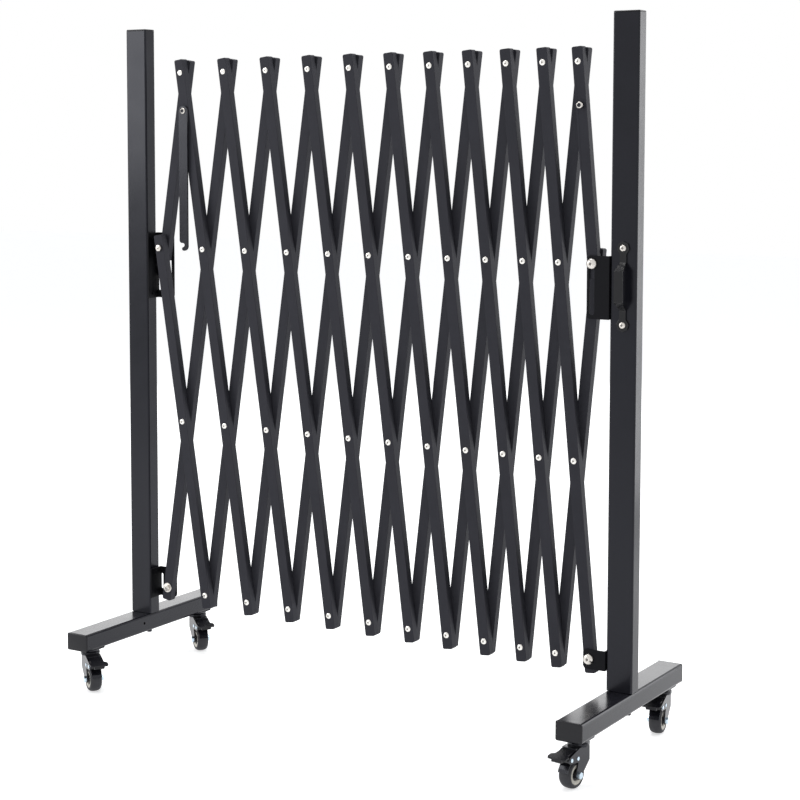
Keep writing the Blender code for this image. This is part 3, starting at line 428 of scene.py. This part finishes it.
def build_rivets():
    """A domed head with a dimple over each rivet, and its rounded tail behind."""
    for name in front_bars():
        shape = bmesh.new()
        for side, profile in ((-1, RIVET_HEAD), (1, RIVET_TAIL)):
            for (x, z), proud in round_heads(name, side):
                if proud > STUD_PROUD:
                    continue
                place = Vector((x, LATTICE_Y + side * BAR_OUTSIDE * MM, z))
                add_turned(shape, profile, RIVET_SIDES, facing(place, (0, side, 0)))
        if shape.faces:
            store(name + "_rivets", shape, [RIVET_ZINC, MANDREL_AND_PAINTED_SHADE], name)
        else:
            shape.free()


# The dark middles of these tops, their second finish, are painted shade in the dimple
STUD_TOP = [(6.1, -0.15, 0), (6.15, 0.7, 0), (5.6, 1.7, 0), (4.4, 2.5, 0), (3.1, 2.9, 0),
            (2.0, 3.0, 0), (1.6, 2.86, 1), (0, 2.84, 1)]
SCREW_TOP = [(6.0, -0.1, 0), (6.05, 0.9, 0), (5.5, 2.0, 0), (4.2, 2.85, 0), (2.9, 3.15, 0),
             (2.3, 3.2, 0), (2.0, 3.06, 1), (0, 3.04, 1)]


def build_stud_tops():
    """A bright domed top on the hook's stud and on the one that it drops over."""
    for name in front_bars():
        for (x, z), proud in round_heads(name, -1):
            if proud <= STUD_PROUD:
                continue
            shape = bmesh.new()
            place = Vector((x, LATTICE_Y - STUD_HEAD_SEAT * MM, z))
            add_turned(shape, STUD_TOP, RIVET_SIDES, facing(place, (0, -1, 0)))
            store(name + "_stud_top", shape, [ZINC, MANDREL_AND_PAINTED_SHADE], name)


def build_handle_screws():
    """Bright screw heads over the two on the pull handle."""
    low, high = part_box("pull_handle")
    middle_x, middle_z = (low[0] + high[0]) / 2, (low[2] + high[2]) / 2
    shape = bmesh.new()
    for sign in (-1, 1):
        z = middle_z + sign * HANDLE_SCREW_FROM_MIDDLE * MM
        place = Vector((middle_x, LATTICE_Y - HANDLE_SEAT * MM, z))
        add_turned(shape, SCREW_TOP, BOLT_SIDES, facing(place, (0, -1, 0)))
    store("handle_screws", shape, [ZINC, MANDREL_AND_PAINTED_SHADE], "right_stand")


# The end bolts from the front, which is height zero; the shank's end is measured from the back
# The dark middles of the bolt ends, finish 1, are painted shade and a painted dark reflection
DOME_FRONT = [(0, 1.3, 1), (2.2, 1.2, 1), (2.5, 0.3, 0), (3.2, 0.04, 0), (4.6, 0.25, 0), (6.6, 1.0, 0),
              (8.3, 2.2, 0), (9.4, 3.6, 0), (9.9, 5.0, 0), (9.9, 5.9, 0), (9.6, 6.0, 0), (3.5, 6.0, 0)]
NUT_FRONT = [(0, 0.9, 1), (1.6, 0.85, 1), (1.9, 0.2, 0), (3.2, 0.4, 0), (3.5, 1.2, 0), (3.5, 5.4, 0)]
NUT_RING = [(3.4, 0.9, 0), (5.9, 0.9, 0), (6.9, 1.5, 0), (6.9, 5.5, 0), (3.4, 5.5, 0)]
WASHER_RING = [(3.4, 0, 0), (9.5, 0, 0), (9.95, 0.4, 0), (9.95, 1.4, 0), (3.4, 1.4, 0)]
SHANK_END = [(3.5, -0.8, 0), (3.1, -0.3, 0), (0, -0.3, 0)]
NUT_DEPTH = 5.5
FRONT_ENDS = {"right_upper": "dome", "right_lower": "dome", "left_upper": "nut", "left_lower": "washer"}


def raised(profile, height):
    """A profile moved along its axis."""
    return [(radius, along + height, finish) for radius, along, finish in profile]


def build_bolts():
    """Each end bolt with a smooth head and shank and with its nuts, in place of the faceted one."""
    for end, kind in FRONT_ENDS.items():
        node = end + "_bolt"
        low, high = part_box(node)
        length = (high[1] - low[1]) / MM
        place = facing(Vector(((low[0] + high[0]) / 2, low[1], (low[2] + high[2]) / 2)), (0, 1, 0))
        shape = bmesh.new()
        front = DOME_FRONT if kind == "dome" else NUT_FRONT
        add_turned(shape, front + raised(SHANK_END, length), BOLT_SIDES, place)
        nut = [(radius, NUT_DEPTH - along, finish) for radius, along, finish in reversed(NUT_RING)]
        add_turned(shape, raised(nut, length - NUT_DEPTH), NUT_SIDES, place, closed=True)
        if kind != "dome":
            add_turned(shape, NUT_RING, NUT_SIDES, place, closed=True)
        if kind == "washer":
            add_turned(shape, raised(WASHER_RING, NUT_DEPTH), BOLT_SIDES, place, closed=True)
        piece = store(end + "_bolt_fine", shape, [ZINC, MANDREL_AND_PAINTED_SHADE], body_of(node))
        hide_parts(node)


# Caps

def cap_ring(width, depth, inset, height):
    """Points of a rectangle with round corners, drawn in from a cap's outline, in millimetres."""
    radius = max(CAP_CORNER - inset, CAP_LEAST_RADIUS)
    across, along = width / 2 - inset - radius, depth / 2 - inset - radius
    middles = ((across, along), (-across, along), (-across, -along), (across, -along))
    points = []
    for quarter, (x, y) in enumerate(middles):
        for step in range(CAP_CORNER_STEPS + 1):
            turn = pi / 2 * (quarter + step / CAP_CORNER_STEPS)
            points.append((x + radius * cos(turn), y + radius * sin(turn), height))
    return points


def cap_profile():
    """A cap's (inset, height) steps in millimetres, from the spigot's end to the flat of the top."""
    steps = [(SPIGOT_INSET, -SPIGOT_DEPTH), (SPIGOT_INSET, CAP_UNDERSIDE),
             (CAP_LIP_INSET, CAP_UNDERSIDE), (0, CAP_LIP_HEIGHT)]
    for step in range(CAP_EDGE_STEPS + 1):
        turn = pi / 2 * step / CAP_EDGE_STEPS
        steps.append((CAP_EDGE * (1 - cos(turn)), CAP_HEIGHT - CAP_EDGE * (1 - sin(turn))))
    return steps


def build_caps():
    """Caps with rounded edges, in place of the six plain ones."""
    for node in nodes_ending("_cap"):
        low, high = (Vector(corner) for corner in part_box(node))
        size, middle = (high - low) / MM, (low + high) / 2
        if node.endswith("_post_cap"):
            direction, depth = (0, 0, 1), size.y
            place = Vector((middle.x, middle.y, high.z))
        else:
            side = 1 if "_back_" in node else -1
            direction, depth = (0, side, 0), size.z
            place = Vector((middle.x, high.y if side > 0 else low.y, middle.z))
        seat = facing(place, direction) @ Matrix.Translation((0, 0, -CAP_HEIGHT * MM))
        shape = bmesh.new()
        rings = []
        for inset, height in cap_profile():
            points = cap_ring(size.x, depth, inset, height)
            rings.append([shape.verts.new(seat @ (Vector(point) * MM)) for point in points])
        shape.faces.new(rings[0])
        shape.faces.new(rings[-1])
        for lower, upper in zip(rings, rings[1:]):
            bridge(shape, lower, upper, len(lower), 0)
        piece = store(node + "_rounded", shape, [PLASTIC], body_of(node))
        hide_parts(node)


# Wheels

# Half profiles, from the wheel's middle plane; the rim's runs from the tyre in to the hub
TYRE_HALF = [(24.99, 0, 0), (24.9, 3.2, 0), (24.5, 6.2, 0), (23.6, 8.9, 0), (22.1, 10.9, 0),
             (20.2, 11.85, 0), (18.6, 11.8, 0), (17.8, 11.2, 0), (17.4, 10.2, 0)]
RIM_HALF = [(17.5, 9.8, 0), (17.4, 11.0, 0), (16.7, 11.4, 0), (14.0, 10.9, 0), (11.6, 10.2, 0),
            (10.9, 9.0, 0), (10.7, 8.4, 1), (7.6, 8.4, 1), (6.9, 10.4, 1), (6.6, 11.9, 1), (3.2, 11.9, 1)]


def mirrored(profile):
    """A profile on the other side of height zero."""
    return [(radius, -height, finish) for radius, height, finish in profile]


TYRE_PROFILE = mirrored(TYRE_HALF[::-1]) + TYRE_HALF[1:]
RIM_PROFILE = mirrored(RIM_HALF) + RIM_HALF[::-1]


def build_wheels():
    """A rounded tyre on a cream rim with a black hub, in place of each faceted wheel."""
    for name in nodes_ending("_wheel"):
        roll = JOINTS[name.replace("_wheel", "_roll")]
        place = facing(Vector(roll["pos_m"]), roll["axis"])
        shape = bmesh.new()
        add_turned(shape, TYRE_PROFILE, WHEEL_SIDES, place, closed=True)
        tyre = store(name + "_tyre", shape, [TYRE], name)
        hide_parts(name)
        shape = bmesh.new()
        add_turned(shape, RIM_PROFILE, WHEEL_SIDES, place, closed=True)
        rim = store(name + "_rim", shape, [RIM, PLASTIC], name)
        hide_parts(name)


# Stage, light and camera

def seen_or_mirrored(nodes, links):
    """One for camera, glossy and transmission rays, and zero for all others."""
    path = nodes.new("ShaderNodeLightPath")
    first = nodes.new("ShaderNodeMath")
    first.operation = "MAXIMUM"
    links.new(path.outputs["Is Camera Ray"], first.inputs[0])
    links.new(path.outputs["Is Glossy Ray"], first.inputs[1])
    second = nodes.new("ShaderNodeMath")
    second.operation = "MAXIMUM"
    links.new(first.outputs[0], second.inputs[0])
    links.new(path.outputs["Is Transmission Ray"], second.inputs[1])
    return second.outputs[0]


def build_stage():
    """A pale floor that keeps the barrier's shadow, under a white world."""
    shape = bmesh.new()
    bmesh.ops.create_grid(shape, x_segments=2, y_segments=2, size=FLOOR_HALF)
    mesh = bpy.data.meshes.new("floor")
    shape.to_mesh(mesh)
    shape.free()
    floor = add_object("floor", mesh)
    material, nodes, links, shader = node_tree("floor_white")
    shader.inputs["Base Color"].default_value = (FLOOR_GREY, FLOOR_GREY, FLOOR_GREY, 1.0)
    shader.inputs["Roughness"].default_value = 0.9
    shader.inputs["Specular IOR Level"].default_value = 0.1
    glow = nodes.new("ShaderNodeEmission")
    links.new(seen_or_mirrored(nodes, links), glow.inputs["Strength"])
    glow.inputs["Color"].default_value = (FLOOR_GLOW, FLOOR_GLOW, FLOOR_GLOW, 1.0)
    both = nodes.new("ShaderNodeAddShader")
    links.new(shader.outputs[0], both.inputs[0])
    links.new(glow.outputs[0], both.inputs[1])
    links.new(both.outputs[0], nodes["Material Output"].inputs["Surface"])
    mesh.materials.append(material)


def build_world():
    """White where it is seen or mirrored, and a soft fill elsewhere."""
    world = bpy.data.worlds.new("studio")
    bpy.context.scene.world = world
    world.use_nodes = True
    nodes, links = world.node_tree.nodes, world.node_tree.links
    fill = nodes["Background"]
    fill.inputs["Color"].default_value = FILL_COLOUR
    fill.inputs["Strength"].default_value = FILL_STRENGTH
    white = nodes.new("ShaderNodeBackground")
    white.inputs["Color"].default_value = (1.0, 1.0, 1.0, 1.0)
    mix = nodes.new("ShaderNodeMixShader")
    links.new(seen_or_mirrored(nodes, links), mix.inputs["Fac"])
    links.new(fill.outputs[0], mix.inputs[1])
    links.new(white.outputs[0], mix.inputs[2])
    links.new(mix.outputs[0], nodes["World Output"].inputs["Surface"])


def add_lamp(name, place, target, size, power):
    """A soft area lamp that faces a target."""
    lamp = bpy.data.lights.new(name, "AREA")
    lamp.shape = "RECTANGLE"
    lamp.size, lamp.size_y = size
    lamp.energy = power
    item = add_object(name, lamp)
    item.location = place
    item.rotation_euler = (Vector(target) - Vector(place)).to_track_quat("-Z", "Y").to_euler()
    item.visible_camera = False


def build_lights():
    """Softboxes behind to the right and left, a top light and a weak front fill."""
    for lamp in LAMPS:
        add_lamp(*lamp)


def build_camera():
    """The photograph's camera."""
    forward = Vector((sin(CAMERA_YAW) * cos(CAMERA_PITCH), cos(CAMERA_YAW) * cos(CAMERA_PITCH),
                      -sin(CAMERA_PITCH)))
    right = Vector((cos(CAMERA_YAW), -sin(CAMERA_YAW), 0))
    up = right.cross(forward)
    rolled_right = right * cos(CAMERA_ROLL) + up * sin(CAMERA_ROLL)
    rolled_up = up * cos(CAMERA_ROLL) - right * sin(CAMERA_ROLL)
    data = bpy.data.cameras.new("photo_camera")
    data.sensor_fit = "HORIZONTAL"
    data.sensor_width = SENSOR
    data.lens = FOCAL_PIXELS / FRAME_SIDE * SENSOR
    data.shift_x = (FRAME_SIDE / 2 - AXIS_PIXEL[0]) / FRAME_SIDE
    data.shift_y = (AXIS_PIXEL[1] - FRAME_SIDE / 2) / FRAME_SIDE
    camera = add_object("photo_camera", data)
    turn = Matrix((rolled_right, rolled_up, -forward)).transposed().to_4x4()
    place = Vector(JOINTS["fold"]["pos_m"]) + Vector(CAMERA_FROM_FOLD)
    camera.matrix_world = Matrix.Translation(place) @ turn
    bpy.context.scene.camera = camera


def main():
    """Build everything around the frame."""
    paint_nodes()
    paint_casters()
    build_rivets()
    build_stud_tops()
    build_handle_screws()
    build_bolts()
    build_caps()
    build_wheels()
    build_stage()
    build_world()
    build_lights()
    build_camera()
    bpy.context.scene.view_settings.view_transform = "Standard"


main()
